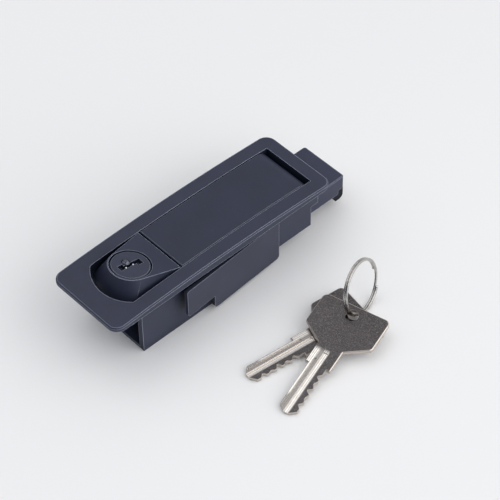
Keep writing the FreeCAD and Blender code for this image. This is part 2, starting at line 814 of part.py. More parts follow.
def build_pins():
    """Hinge pins of the handle and the button, pushed in from the back."""
    start = 1.4 - BODY_HALF
    length = BODY_HALF * 2 - 1.5
    pins = (
        ("handle_pin", S.handle_pivot_x, -HANDLE_PIVOT_DEPTH, S.handle_pin_radius),
        ("button_pin", -S.button_pivot_x, -S.button_pivot_depth, S.button_pin_radius),
    )
    pieces = []
    for name, along, depth, radius in pins:
        piece = Piece(name)
        piece.rod("pin", (along, start, depth), "y", radius, length)
        piece.chamfer("ends", 0.25, lambda e, m: abs(m.y) > 14.0 and e.Curve.TypeId == "Part::GeomCircle")
        pieces.append(piece)
    return pieces


def build_bolt():
    """Flat latch bolt with a slot for the handle's arm and a bore for its spring."""
    piece = Piece("latch_bolt")
    half = BOLT_HALF
    zs = (BOLT_BOTTOM, -S.bolt_top)
    piece.block("bar", (S.bolt_tail, S.bolt_end), (-half, half), zs)
    tip = S.bolt_end.value - 0.01
    piece.fillet("tip_corners", 1.2, lambda e, m: is_vertical(e) and m.x > tip)
    top = -S.bolt_top.value - 0.01
    bar = S.bolt_tail.value + 1
    piece.chamfer("top_bevel", 0.4, lambda e, m: m.z > top and m.x > bar)
    slot = (S.handle_pivot_x - 2.5, S.handle_pivot_x + 5.8)
    width = S.arm_half_width + 0.4
    piece.block("arm_slot", slot, (-width, width), (BOLT_BOTTOM - 1, 1 - S.bolt_top), cut=True)
    start = (S.bolt_tail - 1, 0, BOLT_AXIS)
    piece.rod("spring_bore", start, "x", BOLT_BORE, 15.0, cut=True)
    rebate = (S.bolt_end - S.nose_rebate, S.bolt_end + 1)
    zs = (BOLT_BOTTOM - 1, NOSE_TOP)
    piece.block("nose_rebate", rebate, (-half - 1, half + 1), zs, cut=True)
    groove = (S.bolt_end - 2.8, S.bolt_end - 1.0)
    piece.block("nose_groove", groove, (-half + 1.3, half - 1.3), (NOSE_TOP - 1, NOSE_TOP + 2), cut=True)
    return piece


def build_nose():
    """Rounded nylon lip pressed into the underside of the bolt's tip."""
    piece = Piece("bolt_nose")
    low = BOLT_BOTTOM - S.nose_drop
    back = S.bolt_end - S.nose_rebate
    face = S.bolt_end - 0.3
    outline = [
        (back, BOLT_BOTTOM), (back - 2.6, BOLT_BOTTOM), (back - 1.2, low), (face, low, "round", 2.4),
        (face, NOSE_TOP), (back, NOSE_TOP),
    ]
    half = BOLT_HALF - 0.3
    piece.prism("lip", "XZ", outline, -half, half)
    spigot = (S.bolt_end - 2.7, S.bolt_end - 1.1)
    width = BOLT_HALF - 1.4
    piece.block("spigot", spigot, (-width, width), (NOSE_TOP - 0.5, NOSE_TOP + 1.9))
    return piece


def build_guide_rod():
    """Rod in the spring wall that keeps the bolt's spring straight."""
    piece = Piece("bolt_guide_rod")
    start = (3.0, 0, BOLT_AXIS)
    piece.rod("rod", start, "x", GUIDE_ROD_RADIUS, S.bolt_tail + 5.0 - 3.0)
    end = S.bolt_tail.value + 4.9
    piece.chamfer("end", 0.5, lambda e, m: m.x > end)
    return piece


def build_wing(side, sign):
    """Snap-in wing: a plate with a hinge bead along its right end, made about the bead's axis."""
    piece = Piece(f"wing_{side}")
    bead = S.wing_bead_radius
    left = -S.wing_length
    step = left + 15.4
    outline = [
        (left, -S.wing_top, "round", 0.8), (left, -S.wing_short_depth, "round", 1.2),
        (step, -S.wing_short_depth), (step, -S.wing_depth, "round", 1.6),
        (1.6, -S.wing_depth, "round", 1.8), (1.6, -S.wing_top, "round", 0.8),
    ]
    plate = mirrored(sign, bead, bead + S.wing_thickness)
    piece.prism("plate", "XZ", outline, plate[0], plate[1])
    length = S.wing_depth - S.wing_top - 0.4
    start = (0, 0, -S.wing_depth + 0.2)
    piece.rod("bead", start, "z", bead, length)
    neck = mirrored(sign, 0.4, bead + 0.4)
    piece.block("neck", (-0.55, 0.55), neck, (-S.wing_depth + 0.2, -S.wing_top - 0.2))
    item = piece.body
    turn = S.wing_splay * -sign
    base = Vector(S.wing_hinge_x.value, WING_HINGE_Y.value * sign, 0)
    item.Placement = Placement(base, Rotation(Vector(0, 0, 1), turn.value))
    bind(item, "Placement.Base.x", S.wing_hinge_x)
    bind(item, "Placement.Base.y", WING_HINGE_Y * sign)
    return piece


def build_wing_spring(side, sign):
    """Leaf spring that rests in the wall's recess and pushes the wing out."""
    piece = Piece(f"wing_spring_{side}")
    floor = BODY_HALF - 0.75
    points = [
        (-17.9, floor), (-13.9, floor), (-6.0, floor + 2.6), (-6.2, floor + 3.0),
        (-14.1, floor + 0.4), (-17.9, floor + 0.4),
    ]
    if sign < 0:
        points = [(x, -y) for x, y in points]
    piece.prism("leaf", "XY", points, -16.0, -8.0)
    return piece


def tied(kind, name, fields, place, turn=None):
    """A Part primitive with its sizes and position tied to the sheet."""
    item = DOC.addObject(kind, name)
    for field, amount in fields:
        setattr(item, field, as_size(amount).value)
        bind(item, field, amount)
    base = Vector(*[as_size(amount).value for amount in place])
    item.Placement = Placement(base, turn or Rotation())
    for letter, amount in zip("xyz", place):
        bind(item, f"Placement.Base.{letter}", amount)
    return item


def build_cover_screws():
    """Four countersunk screws that hold the bottom cover."""
    screws = []
    for side, sign in SIDES:
        for end, place in (("left", -36.0), ("right", 14.0)):
            name = f"screw_{side}_{end}"
            at = (place, (CAVITY_HALF - 2.2) * sign)
            head = tied("Part::Cone", name + "_head",
                        [("Radius1", 2.25), ("Radius2", 1.25), ("Height", S.cover_thickness)],
                        (at[0], at[1], -S.body_depth))
            shank = tied("Part::Cylinder", name + "_shank", [("Radius", 1.25), ("Height", 4.4)],
                         (at[0], at[1], COVER_TOP - 0.1))
            slot = tied("Part::Box", name + "_slot",
                        [("Length", 5.0), ("Width", 0.6), ("Height", 1.0)],
                        (at[0] - 2.5, at[1] - 0.3, -S.body_depth - 0.5))
            joined = DOC.addObject("Part::MultiFuse", name + "_blank")
            joined.Shapes = [head, shank]
            screw = DOC.addObject("Part::Cut", name)
            screw.Base = joined
            screw.Tool = slot
            screws.append(screw)
    group = DOC.addObject("Part::Compound", "cover_screws")
    group.Links = screws
    DOC.recompute()
    return group


def build_wafers():
    """Four flat tumblers in the plug's slots, each with a window for the key."""
    wafers = []
    for number in range(4):
        name = f"wafer_{number + 1}"
        low = -3.6 - 2.6 * number - 1.0
        plate = tied("Part::Box", name + "_plate", [("Length", 9.0), ("Width", 12.0), ("Height", 0.9)],
                     (-4.5, -6.0, low))
        disc = tied("Part::Cylinder", name + "_disc", [("Radius", S.plug_radius - 0.05), ("Height", 0.9)],
                    (0, 0, low))
        window = tied("Part::Box", name + "_window", [("Length", 7.0), ("Width", 2.7), ("Height", 3.0)],
                      (-3.5, -1.35, low - 1))
        blank = DOC.addObject("Part::MultiCommon", name + "_blank")
        blank.Shapes = [plate, disc]
        wafer = DOC.addObject("Part::Cut", name)
        wafer.Base = blank
        wafer.Tool = window
        wafers.append(wafer)
    group = DOC.addObject("Part::Compound", "wafers")
    group.Links = wafers
    tilt_with_button(group)
    DOC.recompute()
    return group


def coil(radius, wire, pitch, turns):
    """A coil of square wire about the Z axis, with its first turn starting on +X."""
    half = wire / 2
    steps = 20
    sections = []
    for step in range(steps * turns + 1):
        turn = Rotation(Vector(0, 0, 1), 360 * step / steps)
        corners = []
        for across, up in ((-half, -half), (half, -half), (half, half), (-half, half)):
            corners.append(turn.multVec(Vector(radius + across, 0, up + pitch * step / steps)))
        sections.append(Part.makePolygon(corners + [corners[0]]))
    return Part.makeLoft(sections, True, True)


def add_spring(name, shape, base, turn):
    """Store a finished spring shape as an object of its own."""
    item = DOC.addObject("Part::Feature", name)
    item.Label = name
    item.Shape = shape
    item.Placement = Placement(base, turn)
    return item


def build_bolt_spring():
    """Compression spring between the spring wall and the bottom of the bolt's bore."""
    wire = 0.9
    start = 5.5
    length = S.bolt_tail.value + 14.0 - start
    turns = 5
    pitch = (length - wire) / turns
    shape = coil(GUIDE_ROD_RADIUS.value + 0.8, wire, pitch, turns)
    base = Vector(start + wire / 2, 0, BOLT_AXIS.value)
    return add_spring("bolt_spring", shape, base, Rotation(Vector(0, 1, 0), 90))


def build_torsion_spring(name, pivot, start, radius, wire, turns, legs):
    """Torsion spring wound about a hinge pin, with one leg up and one leg down."""
    pitch = wire * 1.15
    whole = coil(radius, wire, pitch, turns)
    low = -wire / 2
    up = Part.makeBox(wire, legs[0], wire, Vector(radius + low, 0.1 - legs[0], low))
    down = Part.makeBox(wire, legs[1], wire, Vector(radius + low, -0.1, pitch * turns + low))
    whole = whole.fuse([up, down])
    turn = Rotation(Vector(1, 0, 0), -90)
    return add_spring(name, whole, Vector(pivot[0], start, pivot[1]), turn)


def build_hinge_springs():
    """Torsion springs of the handle and the button."""
    pivot = (S.handle_pivot_x.value, -HANDLE_PIVOT_DEPTH.value)
    radius = S.handle_pin_radius.value + 0.55
    handle = build_torsion_spring("handle_spring", pivot, 5.0, radius, 0.8, 3, (2.0, 4.0))
    pivot = (-S.button_pivot_x.value, -S.button_pivot_depth.value)
    radius = S.button_pin_radius.value + 0.5
    button = build_torsion_spring("button_spring", pivot, -3.0, radius, 0.7, 3, (4.8, 13.4))
    return [handle, button]


def key_outline():
    """A key's outline along +X: cut blade from its tip at the origin, neck, and wide bow."""
    half = S.key_blade_half_width
    neck = S.key_neck_half_width
    bow = S.key_bow_half_width
    points = [(0, 1.2), (0, -1.2), (2.2, -half)]
    for number, depth in enumerate((1.2, 0.6, 1.6, 0.9, 1.3)):
        middle = 5.4 + 3.8 * number
        for along, height in ((-1.5, 0), (-0.4, depth), (0.4, depth), (1.5, 0)):
            points.append((middle + along, height - half))
    bow_left = S.key_blade_length + 10.5
    points += [
        (S.key_blade_length, -half), (S.key_blade_length, -neck), (bow_left, -neck), (S.key_bow_start, -bow),
        (S.key_length, -bow, "round", 2.6), (S.key_length, bow, "round", 2.6), (S.key_bow_start, bow),
        (bow_left, neck), (S.key_blade_length, neck), (S.key_blade_length, half), (2.2, half),
    ]
    return points


def build_key(name, tip, heading, tilt):
    """Flat key with milled grooves, lying with its tip on the table and its bow a little raised."""
    piece = Piece(name)
    thickness = S.key_thickness
    piece.prism("blank", "XY", key_outline(), 0, thickness)
    corner = S.key_bow_start.value - 0.1
    wide = S.key_bow_half_width.value - 0.1
    piece.fillet("bow_corners", 2.0, lambda e, m: is_vertical(e) and near(m.x, corner, 0.2) and abs(m.y) > wide)
    shoulder = S.key_blade_length.value - 0.01
    piece.chamfer("bow_bevel", 0.35, lambda e, m: near(m.z, thickness) and m.x > shoulder)
    piece.rod("hole", (S.key_hole_x, 0, -1), "z", S.key_hole_radius, thickness + 2, cut=True)
    ends = (-1, S.key_blade_length + 7.0)
    piece.block("upper_groove", ends, (-0.9, 1.1), (thickness - 0.5, thickness + 1), cut=True)
    ends = (-1, S.key_blade_length + 3.0)
    piece.block("side_groove", ends, (2.1, 3.0), (thickness - 0.5, thickness + 1), cut=True)
    piece.block("under_groove", ends, (-2.2, -1.2), (-1, 0.5), cut=True)
    item = piece.body
    turn = Rotation(Vector(0, 0, 1), heading) * Rotation(Vector(0, 1, 0), -tilt)
    item.Placement = Placement(Vector(tip[0], tip[1], -S.body_depth.value), turn)
    bind(item, "Placement.Base.z", -S.body_depth)
    return piece


def build_key_ring():
    """Split ring that stands on its edge through the holes of both keys."""
    piece = Piece("key_ring")
    inner = S.ring_radius - S.ring_wire / 2
    outer = S.ring_radius + S.ring_wire / 2
    half = S.ring_height / 2
    piece.turned("band", [(inner, -half), (outer, -half), (outer, half), (inner, half)])
    facing = Vector(*RING_NORMAL)
    lean = math.hypot(facing.x, facing.y) / facing.Length
    drop = S.ring_radius.value + S.ring_wire.value / 2
    height = drop * lean + half.value * abs(facing.z) / facing.Length
    base = Vector(RING_PLACE[0], RING_PLACE[1], height - S.body_depth.value)
    piece.body.Placement = Placement(base, Rotation(Vector(0, 0, 1), facing))
    return piece


def build_all():
    """Every piece of the lock, in the order it goes together."""
    items = [build_housing().body, build_cover().body, build_cover_screws(), build_handle().body]
    items += [piece.body for piece in build_pins()]
    items += build_hinge_springs()
    items += [build_button().body, build_sleeve().body, build_nut().body, build_plug().body]
    items += [build_wafers(), build_cam().body, build_cam_screw().body]
    items += [build_bolt().body, build_nose().body, build_bolt_spring(), build_guide_rod().body]
    for side, sign in SIDES:
        items.append(build_wing(side, sign).body)
        items.append(build_wing_spring(side, sign).body)
    items.append(build_key("key_front", KEY_FRONT_TIP, KEY_FRONT_HEADING, KEY_FRONT_TILT).body)
    items.append(build_key("key_back", KEY_BACK_TIP, KEY_BACK_HEADING, KEY_BACK_TILT).body)
    items.append(build_key_ring().body)
    return items


def check(items):
    """Stop if any object failed to build."""
    for item in DOC.Objects:
        if "Invalid" in item.State or "Error" in item.State:
            raise ValueError(f"{item.Label} is {item.State}")
    for item in items:
        if item.Shape.isNull() or not item.Shape.isValid():
            raise ValueError(f"{item.Label} has no valid shape")


def export(items):
    """Write one file per piece, named after it."""
    os.makedirs("parts", exist_ok=True)
    for item in items:
        item.Shape.exportStep(f"parts/{item.Label}.step")


ITEMS = build_all()
DOC.recompute()
check(ITEMS)
export(ITEMS)
for part_item in ITEMS:
    box = part_item.Shape.BoundBox
    count = len(part_item.Shape.Solids)
    print(part_item.Label, count, f"{part_item.Shape.Volume:.1f}",
          f"x {box.XMin:.2f} {box.XMax:.2f}  y {box.YMin:.2f} {box.YMax:.2f}  z {box.ZMin:.2f} {box.ZMax:.2f}")
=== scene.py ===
import math

import bpy
import numpy as np
from mathutils import Matrix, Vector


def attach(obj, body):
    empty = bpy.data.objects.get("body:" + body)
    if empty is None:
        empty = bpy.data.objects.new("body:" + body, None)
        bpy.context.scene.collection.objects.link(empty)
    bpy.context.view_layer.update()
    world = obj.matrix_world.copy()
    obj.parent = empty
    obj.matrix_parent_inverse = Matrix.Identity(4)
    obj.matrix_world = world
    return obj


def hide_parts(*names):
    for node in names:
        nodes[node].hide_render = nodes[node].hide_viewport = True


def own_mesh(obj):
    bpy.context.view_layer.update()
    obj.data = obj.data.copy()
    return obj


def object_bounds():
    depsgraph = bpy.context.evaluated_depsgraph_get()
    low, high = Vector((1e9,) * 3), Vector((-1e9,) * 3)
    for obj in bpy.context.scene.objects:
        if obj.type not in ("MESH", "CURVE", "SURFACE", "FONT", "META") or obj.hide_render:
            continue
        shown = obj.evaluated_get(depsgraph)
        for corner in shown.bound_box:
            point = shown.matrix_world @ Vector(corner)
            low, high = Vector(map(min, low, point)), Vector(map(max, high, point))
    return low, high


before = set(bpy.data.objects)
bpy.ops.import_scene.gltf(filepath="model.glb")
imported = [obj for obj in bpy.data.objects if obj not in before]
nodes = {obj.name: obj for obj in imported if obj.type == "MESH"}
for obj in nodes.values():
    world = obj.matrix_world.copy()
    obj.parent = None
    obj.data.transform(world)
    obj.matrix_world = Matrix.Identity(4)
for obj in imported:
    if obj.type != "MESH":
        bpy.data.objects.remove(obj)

cad_low, cad_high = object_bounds()


# Housing: bezel flange and open-bottomed body, one zinc die-casting with a fine blue-black
# powder coat, matt on the faces, with a painted highlight along every edge and painted
# shade in its gaps and recesses. An end gusset ties each side wall to the rim under the bezel.

def shader_group(name, inputs, outputs):
    """A node group with the given input sockets (name, kind, value) and output sockets."""
    group = bpy.data.node_groups.new(name, "ShaderNodeTree")
    for socket_name, kind, value in inputs:
        socket = group.interface.new_socket(
            name=socket_name, in_out="INPUT", socket_type="NodeSocket" + kind)
        socket.default_value = value
    for socket_name, kind in outputs:
        group.interface.new_socket(
            name=socket_name, in_out="OUTPUT", socket_type="NodeSocket" + kind)
    start = group.nodes.new("NodeGroupInput")
    end = group.nodes.new("NodeGroupOutput")
    return group, start, end


def ramp(tree, source, low, high, out_low, out_high):
    """Map a value from low..high to out_low..out_high, clamped."""
    step = tree.nodes.new("ShaderNodeMapRange")
    step.inputs["From Min"].default_value = low
    step.inputs["From Max"].default_value = high
    step.inputs["To Min"].default_value = out_low
    step.inputs["To Max"].default_value = out_high
    tree.links.new(source, step.inputs["Value"])
    return step.outputs["Result"]


def maths(tree, operation, first, second=0.0):
    """One arithmetic step; either side may be a number or a socket."""
    step = tree.nodes.new("ShaderNodeMath")
    step.operation = operation
    for index, value in enumerate((first, second)):
        if isinstance(value, (int, float)):
            step.inputs[index].default_value = value
        else:
            tree.links.new(value, step.inputs[index])
    return step.outputs[0]


def vectors(tree, operation, first, second):
    """One vector step; the second side may be a tuple or a socket."""
    step = tree.nodes.new("ShaderNodeVectorMath")
    step.operation = operation
    tree.links.new(first, step.inputs[0])
    other = step.inputs["Scale" if operation == "SCALE" else 1]
    if isinstance(second, tuple):
        other.default_value = second
    else:
        tree.links.new(second, other)
    return step.outputs["Value" if operation == "DOT_PRODUCT" else "Vector"]


def mixed(tree, share, first, second):
    """Mix two colours; each may be a tuple or a socket."""
    step = tree.nodes.new("ShaderNodeMix")
    step.data_type = "RGBA"
    step.clamp_factor = True
    factor_in, first_in, second_in, colour_out = 0, 6, 7, 2
    tree.links.new(share, step.inputs[factor_in])
    for index, value in ((first_in, first), (second_in, second)):
        if isinstance(value, tuple):
            step.inputs[index].default_value = (*value, 1.0)
        else:
            tree.links.new(value, step.inputs[index])
    return step.outputs[colour_out]


def speckle(tree, source, cells, detail=2.0):
    """A noise value over the given coordinates, with so many cells per metre."""
    noise = tree.nodes.new("ShaderNodeTexNoise")
    noise.inputs["Scale"].default_value = cells
    noise.inputs["Detail"].default_value = detail
    tree.links.new(source, noise.inputs["Vector"])
    return noise.outputs["Fac"]


def object_place(tree):
    """Coordinates that stay with the piece when its body moves."""
    return tree.nodes.new("ShaderNodeTexCoord").outputs["Object"]


NOISE_SPAN = (0.3, 0.7)  # where most of a noise value lies


def clouded(tree, colour, fine, cloud, darkest):
    """The colour times darkest..1.08 with the cloud, and 10 % up or down with the fine noise."""
    shade = maths(tree, "ADD", ramp(tree, fine, *NOISE_SPAN, -0.10, 0.10),
                  ramp(tree, cloud, *NOISE_SPAN, darkest, 1.08))
    return vectors(tree, "SCALE", colour, shade)


def make_recess_shade():
    """Painted shade for gaps and recesses: 1 on an open face, 0.22 deep in a gap.

    It is the openness of the spot within Reach metres, stretched from 0.25..0.80.
    """
    group, start, end = shader_group(
        "recess_shade", [("Reach", "Float", 0.009)], [("Share", "Float")])
    hollow = group.nodes.new("ShaderNodeAmbientOcclusion")
    hollow.samples = 8
    group.links.new(start.outputs["Reach"], hollow.inputs["Distance"])
    group.links.new(ramp(group, hollow.outputs["AO"], 0.25, 0.80, 0.22, 1.0), end.inputs["Share"])
    return group


def make_powder_grain():
    """Powder coat: fine orange-peel grain, faint cloudiness and a few dust specks."""
    group, start, end = shader_group(
        "powder_grain",
        [("Colour", "Color", (0.02, 0.02, 0.03, 1.0)), ("Roughness", "Float", 0.5)],
        [("Colour", "Color"), ("Roughness", "Float"), ("Height", "Float")])
    dust_colour = (0.16, 0.17, 0.20)
    place = object_place(group)
    grain = speckle(group, place, 2600.0, 3.0)
    cloud = speckle(group, place, 70.0)
    dust = ramp(group, speckle(group, place, 900.0, 0.0), 0.76, 0.84, 0.0, 0.05)
    tone = clouded(group, start.outputs["Colour"], grain, cloud, 0.92)
    rough = maths(group, "ADD", start.outputs["Roughness"],
                  ramp(group, grain, *NOISE_SPAN, -0.05, 0.05))
    group.links.new(mixed(group, dust, tone, dust_colour), end.inputs["Colour"])
    group.links.new(rough, end.inputs["Roughness"])
    group.links.new(grain, end.inputs["Height"])
    return group


def make_edge_highlight():
    """Painted edge highlights, found by how far the normal rounded over Radius leans from the face's
    own.

    The mask is Strength times (sqrt(1 - rounded . face) - 0.05), kept between 0 and 1.
    """
    group, start, end = shader_group(
        "edge_highlight",
        [("Radius", "Float", 0.0003), ("Strength", "Float", 2.0)],
        [("Mask", "Float"), ("Normal", "Vector")])
    bevel = group.nodes.new("ShaderNodeBevel")
    bevel.samples = 6
    group.links.new(start.outputs["Radius"], bevel.inputs["Radius"])
    face = group.nodes.new("ShaderNodeNewGeometry").outputs["True Normal"]
    flat = vectors(group, "DOT_PRODUCT", bevel.outputs["Normal"], face)
    lean = maths(group, "MAXIMUM", maths(group, "SUBTRACT", 1.0, flat), 0.0)
    past = maths(group, "SUBTRACT", maths(group, "POWER", lean, 0.5), 0.05)
    mask = maths(group, "MULTIPLY", maths(group, "MAXIMUM", past, 0.0), start.outputs["Strength"])
    group.links.new(maths(group, "MINIMUM", mask, 1.0), end.inputs["Mask"])
    group.links.new(bevel.outputs["Normal"], end.inputs["Normal"])
    return group


recess_shade = make_recess_shade()
powder_grain = make_powder_grain()
edge_highlight = make_edge_highlight()


def blank_material(name, metallic, specular=0.5):
    """A material with its Principled shader, and the constants on the shader's own sockets."""
    material = bpy.data.materials.new(name)
    material.use_nodes = True
    shader = material.node_tree.nodes["Principled BSDF"]
    shader.inputs["Metallic"].default_value = metallic
    shader.inputs["Specular IOR Level"].default_value = specular
    return material, material.node_tree, shader


def placed(tree, group, **values):
    """One use of a node group with its own values."""
    node = tree.nodes.new("ShaderNodeGroup")
    node.node_tree = group
    for name, value in values.items():
        node.inputs[name].default_value = value
    return node


def bumped(tree, shader, height, edge, distance, strength):
    """Bump over the rounded-edge normal."""
    bump = tree.nodes.new("ShaderNodeBump")
    bump.inputs["Distance"].default_value = distance
    bump.inputs["Strength"].default_value = strength
    tree.links.new(height, bump.inputs["Height"])
    tree.links.new(edge.outputs["Normal"], bump.inputs["Normal"])
    tree.links.new(bump.outputs["Normal"], shader.inputs["Normal"])


# Painted shade: the near-black that gaps and recesses are darkened towards.
RECESS_SHADE = (0.005, 0.009, 0.019)


def powder_coat(name, colour, edge_highlight_colour, roughness, radius, reach=0.009):
    """Powder coat on metal: grain over the faces and a painted highlight line along the edges.

    In gaps and recesses the colour darkens towards a painted shade, and the edges there get no
    painted highlight.
    """
    material, tree, shader = blank_material(name, 0.0, specular=0.3)
    grain = placed(tree, powder_grain, Colour=(*colour, 1.0), Roughness=roughness)
    edge = placed(tree, edge_highlight, Radius=radius, Strength=2.5)
    # Painted shade: the more closed in a spot is, the nearer its colour comes to the dark recess
    # colour.
    openness = placed(tree, recess_shade, Reach=reach).outputs["Share"]
    shaded_colour = mixed(tree, openness, RECESS_SHADE, grain.outputs["Colour"])
    # Painted highlight along the edges, faded out where the painted recess shade is deep.
    highlit = maths(tree, "MULTIPLY", edge.outputs["Mask"], ramp(tree, openness, 0.45, 0.85, 0.0, 1.0))
    tree.links.new(mixed(tree, highlit, shaded_colour, edge_highlight_colour), shader.inputs["Base Color"])
    tree.links.new(grain.outputs["Roughness"], shader.inputs["Roughness"])
    bumped(tree, shader, grain.outputs["Height"], edge, distance=0.00002, strength=0.35)
    return material


def dress(names, material):
    """Give the CAD nodes their finish."""
    for name in names:
        mesh = nodes[name].data
        mesh.materials.clear()
        mesh.materials.append(material)


housing_coat = powder_coat("housing_coat", (0.031, 0.035, 0.062), (0.50, 0.55, 0.68),
                           roughness=0.49, radius=0.00035)
dress(["housing"], housing_coat)


def surface(name, points, faces, smooth=True):
    """A mesh object from arrays of points and faces."""
    mesh = bpy.data.meshes.new(name)
    mesh.from_pydata(np.asarray(points).tolist(), [], faces)
    mesh.update()
    mesh.polygons.foreach_set("use_smooth", np.full(len(mesh.polygons), smooth))
    piece = bpy.data.objects.new(name, mesh)
    bpy.context.scene.collection.objects.link(piece)
    return piece


def finished(piece, material, body, slot_name, *replaced):
    """Give a new piece its finish, its body and the node that it stands for."""
    piece.data.materials.append(material)
    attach(piece, body)
    if replaced:
        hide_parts(*replaced)


def ring_walls(rings, sides):
    """Four-sided faces between rings of points that run counter-clockwise, the lowest first."""
    row = np.arange(rings - 1)[:, None] * sides
    here = np.arange(sides)[None, :]
    after = (here + 1) % sides
    walls = np.stack([row + here, row + after, row + sides + after, row + sides + here], axis=-1)
    return walls.reshape(-1, 4)


# x and z of a gusset's corners, and how far its two faces lie from the middle
GUSSET_OUTLINE = np.array([[-42.9, -8.0], [-42.9, -0.02], [-49.4, -0.02], [-47.6, -8.0]]) / 1000.0
GUSSET_FACES = (0.01355, 0.01485)
for side_name, side in (("front", -1), ("back", 1)):
    near_y, far_y = sorted(side * face for face in GUSSET_FACES)
    corners = np.vstack([np.insert(GUSSET_OUTLINE, 1, y, axis=1) for y in (far_y, near_y)])
    gusset = surface(f"end_gusset_{side_name}", corners,
                     ring_walls(2, 4).tolist() + [[3, 2, 1, 0], [4, 5, 6, 7]], smooth=False)
    finished(gusset, housing_coat, "housing", "black_coat")


# Bottom cover: stepped plate pressed from steel sheet, coated with the body and held
# by four countersunk zinc-plated screws.

def make_metal_scratches():
    """Plated metal: fine scratches along one axis, cloudy plating and darker pits."""
    group, start, end = shader_group(
        "metal_scratches",
        [("Colour", "Color", (0.5, 0.5, 0.5, 1.0)), ("Roughness", "Float", 0.3),
         ("Stretch", "Vector", (1.0, 1.0, 1.0)), ("Scale", "Float", 1.0)],
        [("Colour", "Color"), ("Roughness", "Float"), ("Height", "Float")])
    pit_colour = (0.05, 0.05, 0.055)
    place = object_place(group)
    drawn = vectors(group, "SCALE", vectors(group, "MULTIPLY", place, start.outputs["Stretch"]),
                    start.outputs["Scale"])
    lines = speckle(group, drawn, 900.0, 3.0)
    cloud = speckle(group, place, 160.0, 3.0)
    pits = ramp(group, speckle(group, place, 1900.0, 1.0), 0.30, 0.40, 0.35, 0.0)
    tone = clouded(group, start.outputs["Colour"], lines, cloud, 0.88)
    rough = maths(group, "ADD", start.outputs["Roughness"],
                  ramp(group, lines, *NOISE_SPAN, -0.08, 0.10))
    rough = maths(group, "ADD", rough, maths(group, "MULTIPLY", pits, 0.5))
    group.links.new(mixed(group, pits, tone, pit_colour), end.inputs["Colour"])
    group.links.new(rough, end.inputs["Roughness"])
    group.links.new(lines, end.inputs["Height"])
    return group


metal_scratches = make_metal_scratches()


def plated_metal(name, colour, edge_highlight_colour, roughness, stretch=(1.0, 1.0, 1.0)):
    """Plated or ground metal with painted highlights along its edges; scratches run along the axis
    stretched least.
    """
    material, tree, shader = blank_material(name, 1.0)
    metal = placed(tree, metal_scratches, Colour=(*colour, 1.0), Roughness=roughness,
                   Stretch=stretch)
    edge = placed(tree, edge_highlight, Radius=0.0002, Strength=1.3)
    # Painted highlight: the edges are tinted towards the brighter edge colour.
    tint = mixed(tree, edge.outputs["Mask"], metal.outputs["Colour"], edge_highlight_colour)
    tree.links.new(tint, shader.inputs["Base Color"])
    tree.links.new(metal.outputs["Roughness"], shader.inputs["Roughness"])
    bumped(tree, shader, metal.outputs["Height"], edge, distance=0.00001, strength=0.25)
    return material


dress(["bottom_cover"], housing_coat)
zinc_screw = plated_metal("zinc_screw", (0.46, 0.46, 0.47), (0.7, 0.7, 0.72), roughness=0.30)
dress(["cover_screws"], zinc_screw)


# Pull handle: flush die-casting in a darker copy of the same coat, which is painted shade,
# with painted recess shade reaching further, a little smoother where fingers pull it. A
# ground pin carries it, and a torsion spring wound on the pin lifts it.

handle_coat_painted_shade = powder_coat("handle_coat_painted_shade", (0.025, 0.029, 0.053), (0.34, 0.37, 0.48),
                          roughness=0.48, radius=0.0003, reach=0.014)
dress(["pull_handle"], handle_coat_painted_shade)
ground_steel = plated_metal("ground_steel", (0.42, 0.42, 0.44), (0.66, 0.66, 0.68),
                            roughness=0.24, stretch=(1.0, 0.1, 1.0))
dress(["handle_pin"], ground_steel)


def unit(vector):
    """The same direction with length one, for one vector or for each row."""
    vector = np.asarray(vector, float)
    return vector / np.linalg.norm(vector, axis=-1, keepdims=True)


def fan(tip, first, sides):
    """Triangles from a tip to a ring that starts at the first point."""
    here = np.arange(sides)
    return np.stack([np.full(sides, tip), first + here, first + (here + 1) % sides], axis=-1)


def drawn_wire(name, line, axis, radius):
    """Round wire carried along a line.

    Each ring is p + r (cos a n + sin a b), where n is the axis crossed with the tangent
    and b is the tangent crossed with n. A point at each end closes the wire.
    """
    sides = 14
    tangent = unit(np.gradient(line, axis=0))
    across = unit(np.cross(np.asarray(axis, float), tangent))
    up = np.cross(tangent, across)
    angle = np.linspace(0.0, 2.0 * np.pi, sides, endpoint=False)
    ring = (np.cos(angle)[None, :, None] * across[:, None, :]
            + np.sin(angle)[None, :, None] * up[:, None, :])
    points = (line[:, None, :] + radius * ring).reshape(-1, 3)
    start = fan(len(points), 0, sides)[:, [0, 2, 1]]
    end = fan(len(points) + 1, len(points) - sides, sides)
    faces = ring_walls(len(line), sides).tolist() + start.tolist() + end.tolist()
    return surface(name, np.vstack([points, line[:1], line[-1:]]), faces)


def hinge_coil(pivot, start, radius, pitch, turns, legs):
    """Centre line of a torsion spring about a pin along Y.

    The leg up, x = r, z from leg down to 0; the coil, x = r cos a, z = -r sin a with y
    rising by the pitch each turn; then the leg down.
    """
    up = np.linspace(legs[0], 0.0, 12, endpoint=False)
    first = np.stack([np.full_like(up, radius), np.zeros_like(up), up], axis=1)
    angle = np.linspace(0.0, 2.0 * np.pi * turns, 40 * turns + 1)
    coil = np.stack([radius * np.cos(angle), pitch * angle / (2 * np.pi), -radius * np.sin(angle)],
                    axis=1)
    down = np.linspace(0.0, legs[1], 14)[1:]
    last = np.stack([np.full_like(down, radius), np.full_like(down, pitch * turns), -down], axis=1)
    return np.vstack([first, coil, last]) + np.array([pivot[0], start, pivot[1]])


